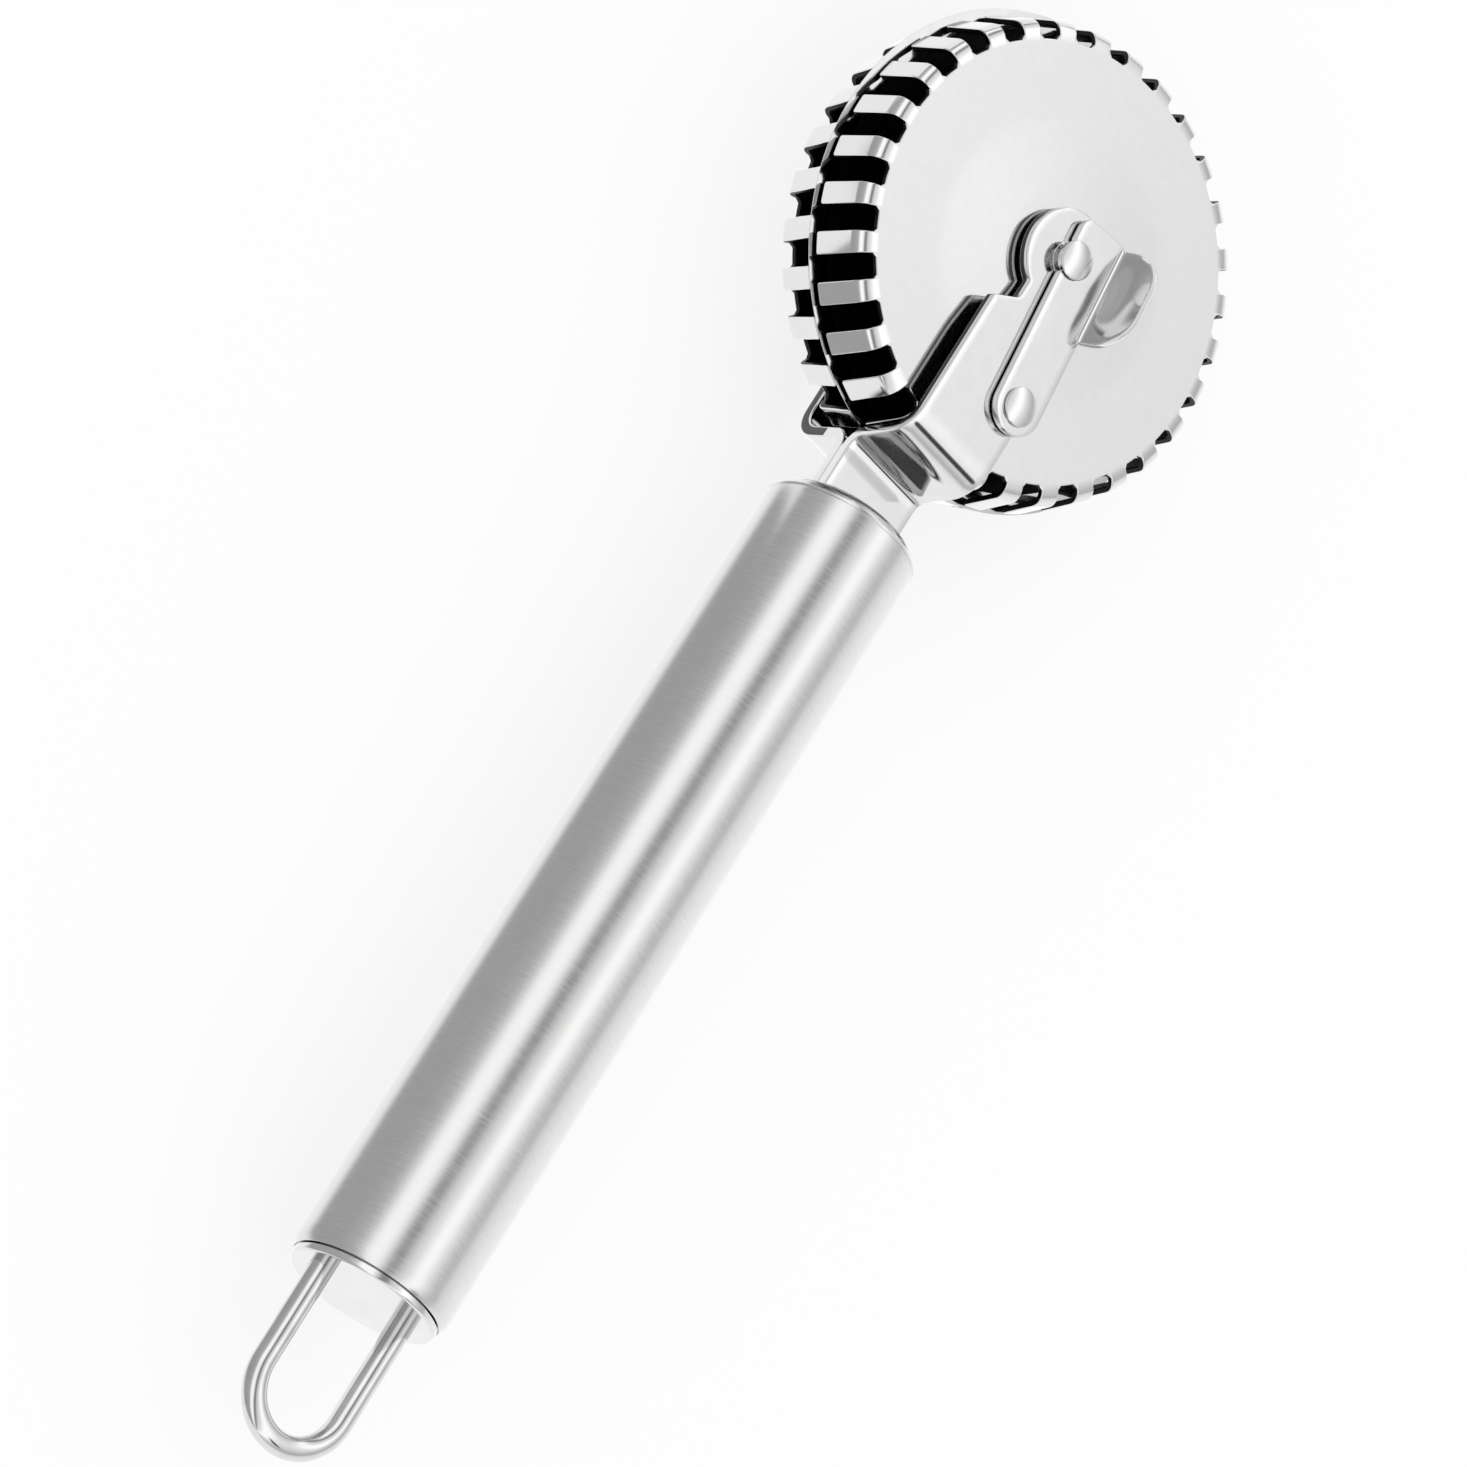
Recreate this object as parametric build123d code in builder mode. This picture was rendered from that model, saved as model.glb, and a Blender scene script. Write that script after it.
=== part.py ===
from build123d import *
import math
import os

os.makedirs("parts", exist_ok=True)

# Ravioli cutter, all lengths in millimetres and all angles in degrees. The tool lies on its side:
# +Z runs along the axle to the side with the latch, +X runs along the handle to the wheels, and the
# origin is the middle of the bounding box on the floor. Local planes put their own origin on the
# axle, halfway through the blade.

# Blade and crimp wheels
blade_radius = 30.5
blade_thickness = 0.8
blade_bevel_length = 2.4
blade_proud = 1.5
finger_count = 31
finger_share = 0.45
finger_flat = 0.1
slot_corner = 0.5
cup_half_height = 8.0
cup_wall = 0.8
cup_bend_radius = 1.9
cup_bend_facets = 2
dish_rise = 1.2
dish_outer_radius = 17.0
dish_inner_radius = 7.5
finger_tip_gap = 0.3
near_slot_angle = 108.0
far_wheel_turn_share = 0.34

# Axle and hub
axle_radius = 2.4
running_clearance = 0.05
fit_clearance = 0.05
sleeve_wall = 0.7
sleeve_flange_radius = 5.2
sleeve_flange_thickness = 0.2
spacer_radius = 5.0
groove_radius = 1.65
groove_margin = 0.2
axle_head_rim = 0.25
axle_head_dome = 0.4
axle_foot_radius = 4.6
axle_foot_thickness = 1.6
dome_facets = 2

# Fork arms, lengths along the tool counted from the axle
arm_width_share = 0.63
eye_proud = 0.05
arm_thickness = 1.5
arm_play = 0.3
shoulder_clearance = 0.5
neck_length = 9.0
shoulder_bend_radius = 4.2
neck_bend_radius = 1.5
tang_length = 16.0
waist_half_width = 3.1
waist_floor_far = 8.2
waist_far = 10.3
waist_fillet = 1.0
strip_bend_facets = 3

# Handle
tube_radius = 10.0
tube_wall = 0.7
handle_length = 110.0
front_roll_length = 1.5
front_roll_drop = 1.4
rear_roll_length = 2.0
rear_roll_drop = 0.55
mouth_gap = 0.25
front_cap_proud = 0.3
front_roll_facets = 2
rear_roll_facets = 1
rear_cap_thickness = 0.9
rear_cap_inset = 0.1
rear_seam = 0.15
spigot_length = 3.0
plug_margin = 2.0

# Hanging loop
wire_radius = 1.5
loop_radius_share = 0.64
loop_reach = 21.7
loop_leg_depth = 14.0
loop_facets = 10

# Latch, lengths across its strap counted from the line through the rivet
latch_rivet_back = 19.0
latch_rivet_side = 4.2
latch_tilt = 5.8
latch_half_width = 3.5
latch_length = 25.0
latch_thickness = 1.0
latch_notch_gap = 0.2
latch_mouth_fillet = 0.8
latch_end_fillet = 1.4
tab_half_width = 6.65
tab_reach = 7.0
tab_corner = 4.8
tab_centre = 18.0
tab_fold = 4.0
tab_bend_radius = 1.8
tab_root = 1.6
tab_angle = 72.0
washer_thickness = 0.2
washer_radius = 3.0
rivet_shank_radius = 1.4
rivet_head_radius = 2.4
rivet_head_rim = 0.3
rivet_head_dome = 0.4
rivet_tail_radius = 2.3
rivet_tail_height = 0.6

# Sizes that follow the blade and the tube
finger_radius = blade_radius - blade_proud
bend_start_radius = finger_radius - cup_bend_radius
slot_end_radius = bend_start_radius - finger_flat - slot_corner
finger_width = 2 * math.pi * finger_radius / finger_count * finger_share
shoulder_reach = blade_radius + shoulder_clearance
handle_to_axle = shoulder_reach + neck_length
arm_width = 2 * tube_radius * arm_width_share
eye_radius = arm_width / 2 + eye_proud
loop_radius = tube_radius * loop_radius_share

# Heights above the blade's middle plane, each from the stack below it
blade_half = blade_thickness / 2
cup_inner = cup_half_height - cup_wall
hub_top = cup_half_height + dish_rise
dish_slant = math.degrees(math.atan2(dish_outer_radius - dish_inner_radius, dish_rise))
hub_inner = hub_top - cup_wall
sleeve_end = hub_top + sleeve_flange_thickness
arm_inner = sleeve_end + arm_play
arm_outer = arm_inner + arm_thickness
latch_bottom = arm_outer + washer_thickness + running_clearance
latch_top = latch_bottom + latch_thickness
mid_height = arm_outer + axle_foot_thickness

# Places along the tool
total_length = loop_reach + handle_length + handle_to_axle + blade_radius
wheel_x = total_length / 2 - blade_radius
front_end = -handle_to_axle
rear_end = front_end - handle_length

# Radii that follow from a fit
tube_bore = tube_radius - tube_wall
plug_radius = tube_bore - fit_clearance
sleeve_bore = axle_radius + running_clearance
sleeve_radius = sleeve_bore + sleeve_wall
hub_bore = sleeve_radius + fit_clearance
wire_hole = wire_radius + fit_clearance
rivet_hole = rivet_shank_radius + fit_clearance
latch_bore = rivet_shank_radius + running_clearance


def level(height):
    """Plane parallel to the wheels at a height above the blade, its origin on the axle."""
    return Plane((wheel_x, 0, mid_height + height))


def lengthwise():
    """Upright plane along the handle: local x forward, local y up, origin on the axle."""
    return Plane((wheel_x, 0, mid_height), x_dir=(1, 0, 0), z_dir=(0, -1, 0))


def across(place):
    """Plane square to the handle at a place along it, facing forward."""
    return Plane((wheel_x + place, 0, mid_height), x_dir=(0, 1, 0), z_dir=(1, 0, 0))


def roll_arc_radius(length, drop):
    """Radius of the arc that leaves the tube level and has sunk by drop after length."""
    return (length**2 + drop**2) / (2 * drop)


def mouth_radius(length, drop):
    """Radius of the hole that a rolled-in end leaves, wall thickness taken off square to the arc."""
    arc_radius = roll_arc_radius(length, drop)
    return tube_radius - drop - tube_wall * (arc_radius - drop) / arc_radius


def arc_steps(centre, radius, start_angle, stop_angle, facets):
    """Points on an arc, one more than the facets that stand for it."""
    step = (stop_angle - start_angle) / facets
    angles = [math.radians(start_angle + step * k) for k in range(facets + 1)]
    return [(centre[0] + radius * math.cos(a), centre[1] + radius * math.sin(a)) for a in angles]


def roll_points(start, direction, length, drop, facets):
    """Points of a rolled end seen from the side, from the straight tube to its tip."""
    arc_radius = roll_arc_radius(length, drop)
    sweep_angle = math.degrees(math.asin(length / arc_radius))
    centre = (0, tube_radius - arc_radius)
    points = arc_steps(centre, arc_radius, 90, 90 - sweep_angle, facets)
    return [(start + direction * x, y) for x, y in points]


def dome_points(radius, base, height):
    """Half section of a low dome from its top down to its rim: a parabola in a few steps."""
    shares = [k / dome_facets for k in range(dome_facets + 1)]
    return [(radius * share, base + height * (1 - share**2)) for share in shares]


def save(builder, name):
    """Name the piece and write it to its own file."""
    builder.part.label = name
    export_step(builder.part, f"parts/{name}.step")


axle_axis = Axis((wheel_x, 0, mid_height), (0, 0, 1))
handle_axis = Axis((wheel_x, 0, mid_height), (1, 0, 0))
front_mouth = mouth_radius(front_roll_length, front_roll_drop)
rear_mouth = mouth_radius(rear_roll_length, rear_roll_drop)

# Handle tube: a thin tube with both ends rolled in round the caps.
with BuildPart() as handle_tube:
    with BuildSketch(lengthwise()):
        with BuildLine():
            front_roll = roll_points(
                front_end - front_roll_length, 1, front_roll_length, front_roll_drop, front_roll_facets
            )
            rear_roll = roll_points(
                rear_end + rear_roll_length, -1, rear_roll_length, rear_roll_drop, rear_roll_facets
            )
            Polyline(*reversed(rear_roll), *front_roll)
            offset(amount=tube_wall, side=Side.RIGHT)
        make_face()
    revolve(axis=handle_axis)
save(handle_tube, "handle_tube")

# Front cap: a round plug face set in the rolled mouth, with one slot for both necks of the fork.
cap_radius = front_mouth - mouth_gap
neck_slot_width = arm_width + 2 * fit_clearance
neck_slot_height = 2 * (arm_thickness + fit_clearance)
cap_length = front_roll_length + front_cap_proud
with BuildPart() as front_cap:
    with BuildSketch(across(front_end - front_roll_length)):
        Circle(cap_radius)
        Rectangle(neck_slot_width, neck_slot_height, mode=Mode.SUBTRACT)
    extrude(amount=cap_length)
save(front_cap, "front_cap")

# Front plug: fills the tube behind the cap and grips the two tangs in a blind slot.
with BuildPart() as tang_plug:
    with BuildSketch(across(front_end - front_roll_length)):
        Circle(plug_radius)
    extrude(amount=-(tang_length + plug_margin - front_roll_length))
    with BuildSketch(across(front_end - front_roll_length)):
        Rectangle(neck_slot_width, neck_slot_height)
    extrude(amount=-(tang_length - front_roll_length), mode=Mode.SUBTRACT)
save(tang_plug, "tang_plug")

# Rear cap: a flat lid just off the rolled end, on a spigot that fills the mouth.
lid_radius = tube_radius - rear_roll_drop - rear_cap_inset
leg_places = [(loop_radius, 0), (-loop_radius, 0)]
with BuildPart() as rear_cap:
    with BuildSketch(across(rear_end - rear_seam)):
        Circle(lid_radius)
    extrude(amount=-rear_cap_thickness)
    with BuildSketch(across(rear_end - rear_seam)):
        Circle(rear_mouth - fit_clearance)
    extrude(amount=rear_seam + spigot_length)
    with BuildSketch(across(rear_end + spigot_length)):
        with Locations(*leg_places):
            Circle(wire_hole)
    extrude(amount=-(spigot_length + rear_seam + rear_cap_thickness), mode=Mode.SUBTRACT)
save(rear_cap, "rear_cap")

# Rear plug: fills the tube behind the lid and holds the ends of the loop in two blind holes.
with BuildPart() as loop_plug:
    with BuildSketch(across(rear_end + spigot_length)):
        Circle(plug_radius)
    extrude(amount=loop_leg_depth + plug_margin - spigot_length)
    with BuildSketch(across(rear_end + spigot_length)):
        with Locations(*leg_places):
            Circle(wire_hole)
    extrude(amount=loop_leg_depth - spigot_length, mode=Mode.SUBTRACT)
save(loop_plug, "loop_plug")

# Hanging loop: one wire bent to a half circle, both legs running into the handle.
leg_tip = rear_end + loop_leg_depth
bend_centre = rear_end - loop_reach + wire_radius + loop_radius
with BuildPart() as hanging_loop:
    with BuildLine(level(0)):
        Polyline(
            (leg_tip, loop_radius),
            *arc_steps((bend_centre, 0), loop_radius, 90, 270, loop_facets),
            (leg_tip, -loop_radius),
        )
    with BuildSketch(Plane((wheel_x + leg_tip, loop_radius, mid_height), z_dir=(-1, 0, 0))):
        Circle(wire_radius)
    sweep(transition=Transition.RIGHT)
save(hanging_loop, "hanging_loop")


def arm_side_face():
    """Side view of the near arm: one strip, flat over the wheel, bent down to the handle's neck."""
    shoulder_centre = (shoulder_bend_radius - shoulder_reach, arm_outer - shoulder_bend_radius)
    neck_centre = (-shoulder_reach - neck_bend_radius, arm_thickness + neck_bend_radius)
    with BuildLine() as strip:
        Polyline(
            (eye_radius, arm_outer),
            *arc_steps(shoulder_centre, shoulder_bend_radius, 90, 180, strip_bend_facets),
            *arc_steps(neck_centre, neck_bend_radius, 0, -90, strip_bend_facets),
            (front_end - tang_length, arm_thickness),
        )
        offset(amount=arm_thickness, side=Side.LEFT)
    make_face(strip.edges())


def arm_outline():
    """Top view of an arm: strap, waist with a slanted far side, and a round eye at the axle."""
    strap_length = tang_length - front_end - waist_far
    with Locations((-waist_far - strap_length / 2, 0)):
        Rectangle(strap_length, arm_width)
    with BuildLine() as waist:
        Polyline(
            (-waist_far, arm_width / 2),
            (-waist_floor_far, waist_half_width),
            (0, waist_half_width),
            (0, -waist_half_width),
            (-waist_floor_far, -waist_half_width),
            (-waist_far, -arm_width / 2),
            close=True,
        )
    make_face(waist.edges())
    Circle(eye_radius)


def waist_corners(vertices, place):
    """The two corners of the outline nearest to a place along the arm, one on each side."""
    return vertices.sort_by(lambda corner: abs(corner.X - place))[0:2]


neck_place = -math.sqrt(eye_radius**2 - waist_half_width**2)

# Near fork arm: the bent strip cut to the outline, with the axle's hole and the rivet's hole.
with BuildPart() as near_fork_arm:
    with BuildSketch(lengthwise()):
        arm_side_face()
    extrude(amount=eye_radius, both=True)
    with BuildSketch(level(0)) as plan:
        arm_outline()
        fillet(waist_corners(plan.vertices(), neck_place), waist_fillet)
        fillet(waist_corners(plan.vertices(), -waist_floor_far), waist_fillet)
    extrude(amount=arm_outer, mode=Mode.INTERSECT)
    with BuildSketch(level(0)):
        Circle(axle_radius + fit_clearance)
        with Locations((-latch_rivet_back, -latch_rivet_side)):
            Circle(rivet_hole)
    extrude(amount=arm_outer, mode=Mode.SUBTRACT)
save(near_fork_arm, "near_fork_arm")

# Far fork arm: the mirror image of the near one, without the rivet's hole.
with BuildPart() as far_fork_arm:
    with BuildSketch(lengthwise()):
        arm_side_face()
    extrude(amount=eye_radius, both=True)
    with BuildSketch(level(0)) as far_plan:
        arm_outline()
        fillet(waist_corners(far_plan.vertices(), neck_place), waist_fillet)
        fillet(waist_corners(far_plan.vertices(), -waist_floor_far), waist_fillet)
        Circle(axle_radius + fit_clearance, mode=Mode.SUBTRACT)
    extrude(amount=arm_outer, mode=Mode.INTERSECT)
    mirror(about=level(0), mode=Mode.REPLACE)
save(far_fork_arm, "far_fork_arm")


def finger_profile():
    """Side view of one finger: a flat root, one bend, and a short straight tip beside the blade."""
    bend_centre_point = (bend_start_radius, cup_half_height - cup_bend_radius)
    with BuildLine() as strip:
        Polyline(
            (bend_start_radius - finger_flat, cup_half_height),
            *arc_steps(bend_centre_point, cup_bend_radius, 90, 0, cup_bend_facets),
            (finger_radius, blade_half + finger_tip_gap),
        )
        offset(amount=cup_wall, side=Side.RIGHT)
    make_face(strip.edges())


def finger_turns(first_turn):
    """Angle of each finger's middle line, the first slot lying at first_turn."""
    pitch = 360 / finger_count
    return [first_turn + pitch * (k + 1 / 2) for k in range(finger_count)]


def finger_plane(turn):
    """Upright plane along one side of the finger at an angle round the axle."""
    outward = Vector(1, 0, 0).rotate(Axis.Z, turn)
    side = Vector(0, -1, 0).rotate(Axis.Z, turn)
    return Plane(level(0).origin - side * finger_width / 2, x_dir=outward, z_dir=side)


def disc_outline(first_turn):
    """Flat part of a crimp wheel: short lands for the fingers, slot corners cut off at a slant."""
    half = finger_width / 2
    land = [
        (slot_end_radius, -half - slot_corner),
        (slot_end_radius + slot_corner, -half),
        (bend_start_radius, -half),
        (bend_start_radius, half),
        (slot_end_radius + slot_corner, half),
        (slot_end_radius, half + slot_corner),
    ]
    corners = [
        Vector(x, y, 0).rotate(Axis.Z, turn) for turn in finger_turns(first_turn) for x, y in land
    ]
    with BuildLine() as rim:
        Polyline(*corners, close=True)
    make_face(rim.edges())


def dish_step():
    """Foot of the dished middle, with one side for each finger."""
    RegularPolygon(dish_outer_radius, finger_count)


# Near crimp wheel: a disc with a dished middle, its rim cut into bent fingers that press the dough
# shut.
with BuildPart() as near_crimp_wheel:
    with BuildSketch(level(cup_inner)):
        disc_outline(near_slot_angle)
    extrude(amount=cup_wall)
    with BuildSketch(level(cup_half_height)):
        dish_step()
    extrude(amount=dish_rise, taper=dish_slant)
    with BuildSketch(level(cup_inner)):
        dish_step()
    extrude(amount=dish_rise, taper=dish_slant, mode=Mode.SUBTRACT)
    with BuildSketch(level(hub_inner)):
        Circle(hub_bore)
    extrude(amount=cup_wall, mode=Mode.SUBTRACT)
    with BuildSketch(*[finger_plane(turn) for turn in finger_turns(near_slot_angle)]):
        finger_profile()
    extrude(amount=finger_width)
save(near_crimp_wheel, "near_crimp_wheel")

# Far crimp wheel: the same piece turned over, its fingers a third of a pitch out of step.
far_slot_angle = near_slot_angle - far_wheel_turn_share * 360 / finger_count
with BuildPart() as far_crimp_wheel:
    with BuildSketch(level(cup_inner)):
        disc_outline(far_slot_angle)
    extrude(amount=cup_wall)
    with BuildSketch(level(cup_half_height)):
        dish_step()
    extrude(amount=dish_rise, taper=dish_slant)
    with BuildSketch(level(cup_inner)):
        dish_step()
    extrude(amount=dish_rise, taper=dish_slant, mode=Mode.SUBTRACT)
    with BuildSketch(level(hub_inner)):
        Circle(hub_bore)
    extrude(amount=cup_wall, mode=Mode.SUBTRACT)
    with BuildSketch(*[finger_plane(turn) for turn in finger_turns(far_slot_angle)]):
        finger_profile()
    extrude(amount=finger_width)
    mirror(about=level(0), mode=Mode.REPLACE)
save(far_crimp_wheel, "far_crimp_wheel")

# Cutting blade: a plain disc, ground from both sides to a sharp edge.
with BuildPart() as cutting_blade:
    with BuildSketch(lengthwise()):
        with BuildLine():
            Polyline(
                (hub_bore, -blade_half),
                (blade_radius - blade_bevel_length, -blade_half),
                (blade_radius, 0),
                (blade_radius - blade_bevel_length, blade_half),
                (hub_bore, blade_half),
                close=True,
            )
        make_face()
    revolve(axis=axle_axis)
save(cutting_blade, "cutting_blade")

# Hub sleeve: a tube through the three discs, both ends flared flat so that they turn as one.
with BuildPart() as hub_sleeve:
    with BuildSketch(level(-sleeve_end)):
        Circle(sleeve_radius)
    extrude(amount=2 * sleeve_end)
    with BuildSketch(level(hub_top), level(-sleeve_end)):
        Circle(sleeve_flange_radius)
    extrude(amount=sleeve_flange_thickness)
    with BuildSketch(level(-sleeve_end)):
        Circle(sleeve_bore)
    extrude(amount=2 * sleeve_end, mode=Mode.SUBTRACT)
save(hub_sleeve, "hub_sleeve")

# Spacers: two rings that hold the crimp wheels off the blade.
with BuildPart() as near_spacer:
    with BuildSketch(level(blade_half)):
        Circle(spacer_radius)
        Circle(hub_bore, mode=Mode.SUBTRACT)
    extrude(amount=hub_inner - blade_half)
save(near_spacer, "near_spacer")

with BuildPart() as far_spacer:
    with BuildSketch(level(-hub_inner)):
        Circle(spacer_radius)
        Circle(hub_bore, mode=Mode.SUBTRACT)
    extrude(amount=hub_inner - blade_half)
save(far_spacer, "far_spacer")

# Axle pin: broad foot below, straight shank, a groove for the latch, and a low domed head.
groove_start = latch_bottom - groove_margin
groove_stop = latch_top + groove_margin
head_rim_top = groove_stop + axle_head_rim
with BuildPart() as axle_pin:
    with BuildSketch(lengthwise()):
        with BuildLine():
            Polyline(
                *reversed(dome_points(axle_radius, head_rim_top, axle_head_dome)),
                (0, -mid_height),
                (axle_foot_radius, -mid_height),
                (axle_foot_radius, -arm_outer),
                (axle_radius, -arm_outer),
                (axle_radius, groove_start),
                (groove_radius, groove_start),
                (groove_radius, groove_stop),
                (axle_radius, groove_stop),
                close=True,
            )
        make_face()
    revolve(axis=axle_axis)
save(axle_pin, "axle_pin")

# Latch rivet: closed under the arm, a low dome above the latch plate.
rivet_axis = Axis((wheel_x - latch_rivet_back, -latch_rivet_side, 0), (0, 0, 1))
rivet_plane = Plane(
    (wheel_x - latch_rivet_back, -latch_rivet_side, mid_height), x_dir=(1, 0, 0), z_dir=(0, -1, 0)
)
rivet_head_bottom = latch_top + running_clearance
rivet_rim_top = rivet_head_bottom + rivet_head_rim
rivet_tail_bottom = arm_inner - rivet_tail_height
with BuildPart() as latch_rivet:
    with BuildSketch(rivet_plane):
        with BuildLine():
            Polyline(
                *reversed(dome_points(rivet_head_radius, rivet_rim_top, rivet_head_dome)),
                (0, rivet_tail_bottom),
                (rivet_tail_radius, rivet_tail_bottom),
                (rivet_tail_radius, arm_inner),
                (rivet_shank_radius, arm_inner),
                (rivet_shank_radius, rivet_head_bottom),
                (rivet_head_radius, rivet_head_bottom),
                close=True,
            )
        make_face()
    revolve(axis=rivet_axis)
save(latch_rivet, "latch_rivet")

# Latch washer: keeps the plate just off the arm.
with BuildPart() as latch_washer:
    with BuildSketch(level(arm_outer)):
        with Locations((-latch_rivet_back, -latch_rivet_side)):
            Circle(washer_radius)
            Circle(rivet_hole, mode=Mode.SUBTRACT)
    extrude(amount=washer_thickness)
save(latch_washer, "latch_washer")

# Latch plate: a strap that turns on the rivet. Its notch drops into the axle's groove, and a
# round-cornered thumb tab is folded up from its lower edge.
strap_direction = Vector(1, 0, 0).rotate(Axis.Z, latch_tilt)
latch_plane = Plane(
    (wheel_x - latch_rivet_back, -latch_rivet_side, mid_height + latch_bottom),
    x_dir=strap_direction,
    z_dir=(0, 0, 1),
)
axle_in_latch = Vector(latch_rivet_back, latch_rivet_side, 0).rotate(Axis.Z, -latch_tilt)
notch_direction = axle_in_latch.rotate(Axis.Z, 90).normalized()
notch_radius = groove_radius + latch_notch_gap
notch_turn = math.degrees(math.atan2(notch_direction.Y, notch_direction.X))
mouth_place = axle_in_latch + notch_direction * latch_half_width / 2
tab_root_plane = Plane(
    latch_plane.from_local_coords(Vector(tab_centre, -tab_fold, 0)),
    x_dir=-latch_plane.y_dir,
    z_dir=-latch_plane.x_dir,
)
lift = Vector(0, -math.cos(math.radians(tab_angle)), math.sin(math.radians(tab_angle)))
tab_face_plane = Plane(
    latch_plane.from_local_coords(Vector(tab_centre, -tab_fold, 0)),
    x_dir=latch_plane.x_dir,
    z_dir=latch_plane.x_dir.cross(lift.rotate(Axis.Z, latch_tilt)),
)
with BuildPart() as latch_plate:
    with BuildSketch(tab_root_plane):
        with BuildLine():
            FilletPolyline(
                (latch_half_width - tab_fold - tab_root, 0),
                (0, 0),
                (
                    2 * tab_reach * math.cos(math.radians(tab_angle)),
                    2 * tab_reach * math.sin(math.radians(tab_angle)),
                ),
                radius=tab_bend_radius,
            )
            offset(amount=latch_thickness, side=Side.LEFT)
        make_face()
    extrude(amount=tab_half_width, both=True)
    with BuildSketch(tab_face_plane):
        RectangleRounded(2 * tab_half_width, 2 * tab_reach, tab_corner)
        with Locations((0, -tab_reach)):
            Rectangle(2 * tab_half_width, 2 * tab_reach)
    extrude(amount=2 * tab_reach, both=True, mode=Mode.INTERSECT)
    with BuildSketch(latch_plane) as strap:
        with Locations((latch_length / 2, 0)):
            Rectangle(latch_length, 2 * latch_half_width)
        Circle(latch_half_width)
        with Locations((axle_in_latch.X, axle_in_latch.Y)):
            Circle(notch_radius, mode=Mode.SUBTRACT)
        with Locations(Location((mouth_place.X, mouth_place.Y, 0), (0, 0, notch_turn))):
            Rectangle(latch_half_width, 2 * notch_radius, mode=Mode.SUBTRACT)
        fillet(strap.vertices().group_by(Axis.Y)[-1].sort_by(Axis.X)[-1], latch_end_fillet)
        top_corners = strap.vertices().group_by(Axis.Y)[-1]
        fillet(waist_corners(top_corners, mouth_place.X), latch_mouth_fillet)
        Circle(latch_bore, mode=Mode.SUBTRACT)
    extrude(amount=latch_thickness)
save(latch_plate, "latch_plate")
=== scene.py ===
# %% [markdown]
# # Ravioli cutter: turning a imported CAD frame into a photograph-like model
#
# The frame is a rolling ravioli cutter lying on its side: a thin blade between two crimp wheels, a
# fork of two bent straps, a small latch over the axle, and a round handle with a wire loop. Nearly
# all of it is stainless sheet, tube or wire, so this lesson is about two things: how sheet metal
# gets its soft cut edges and bends, and how bare steel gets its look from what it reflects.

# %% Frame
import math

import bmesh
import bpy
import numpy as np
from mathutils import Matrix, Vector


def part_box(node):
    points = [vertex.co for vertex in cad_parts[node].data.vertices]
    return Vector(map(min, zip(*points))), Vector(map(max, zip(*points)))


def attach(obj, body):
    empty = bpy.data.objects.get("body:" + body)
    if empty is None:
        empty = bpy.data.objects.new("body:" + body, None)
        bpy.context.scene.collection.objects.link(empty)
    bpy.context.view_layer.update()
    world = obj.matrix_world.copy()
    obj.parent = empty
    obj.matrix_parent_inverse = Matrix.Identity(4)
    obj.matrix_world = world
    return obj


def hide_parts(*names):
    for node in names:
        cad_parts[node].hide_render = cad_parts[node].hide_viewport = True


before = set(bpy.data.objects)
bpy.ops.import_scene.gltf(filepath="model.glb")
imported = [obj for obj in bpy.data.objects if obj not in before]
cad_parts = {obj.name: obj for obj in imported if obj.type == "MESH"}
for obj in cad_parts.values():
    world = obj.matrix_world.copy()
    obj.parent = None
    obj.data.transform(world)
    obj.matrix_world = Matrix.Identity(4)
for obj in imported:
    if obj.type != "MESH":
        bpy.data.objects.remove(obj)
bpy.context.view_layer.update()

# %% [markdown]
# ## Sizes
#
# Every size is in millimetres and is counted from the wheel's centre, halfway through the blade: x
# forward from the handle, z up along the axle to the latch. One function moves a finished surface
# to its place in the frame, so the shapes can be drawn in the numbers that a metalworker would use.

# %% Sizes
MM = 0.001
blade_low, blade_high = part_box("cutting_blade")
WHEEL = np.array([(a + b) / 2 for a, b in zip(blade_low, blade_high)])

FINGER_RADIUS = 29.0  # bend's outer end on a crimp wheel
FINGERS = 31
CUP_TOP = 8.0  # outer face of a crimp wheel
ARM_TOP = 11.2  # outer face of a fork arm
SHEET = 1.5  # thickness of a fork arm
TUBE_RADIUS = 10.0
FRONT_END = -40.0  # the handle's two ends
REAR_END = -150.0

BODY = "handle_and_fork"
WHEEL_BODY = "wheel_set"
LATCH_BODY = "latch"
print("wheel centre in mm:", (WHEEL / MM).round(2))


def to_frame(points):
    """Place in metres: the wheel's centre plus the point in millimetres times a thousandth."""
    return np.asarray(points, float) * MM + WHEEL


# %% [markdown]
# ## Outlines with broken corners
#
# No edge on pressed or turned steel is truly sharp. A corner of an outline is replaced by an arc
# that touches both sides: for a turn by an angle and a wanted radius, the arc starts radius times
# the tangent of half the angle away from the corner. Short sides limit it.

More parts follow.
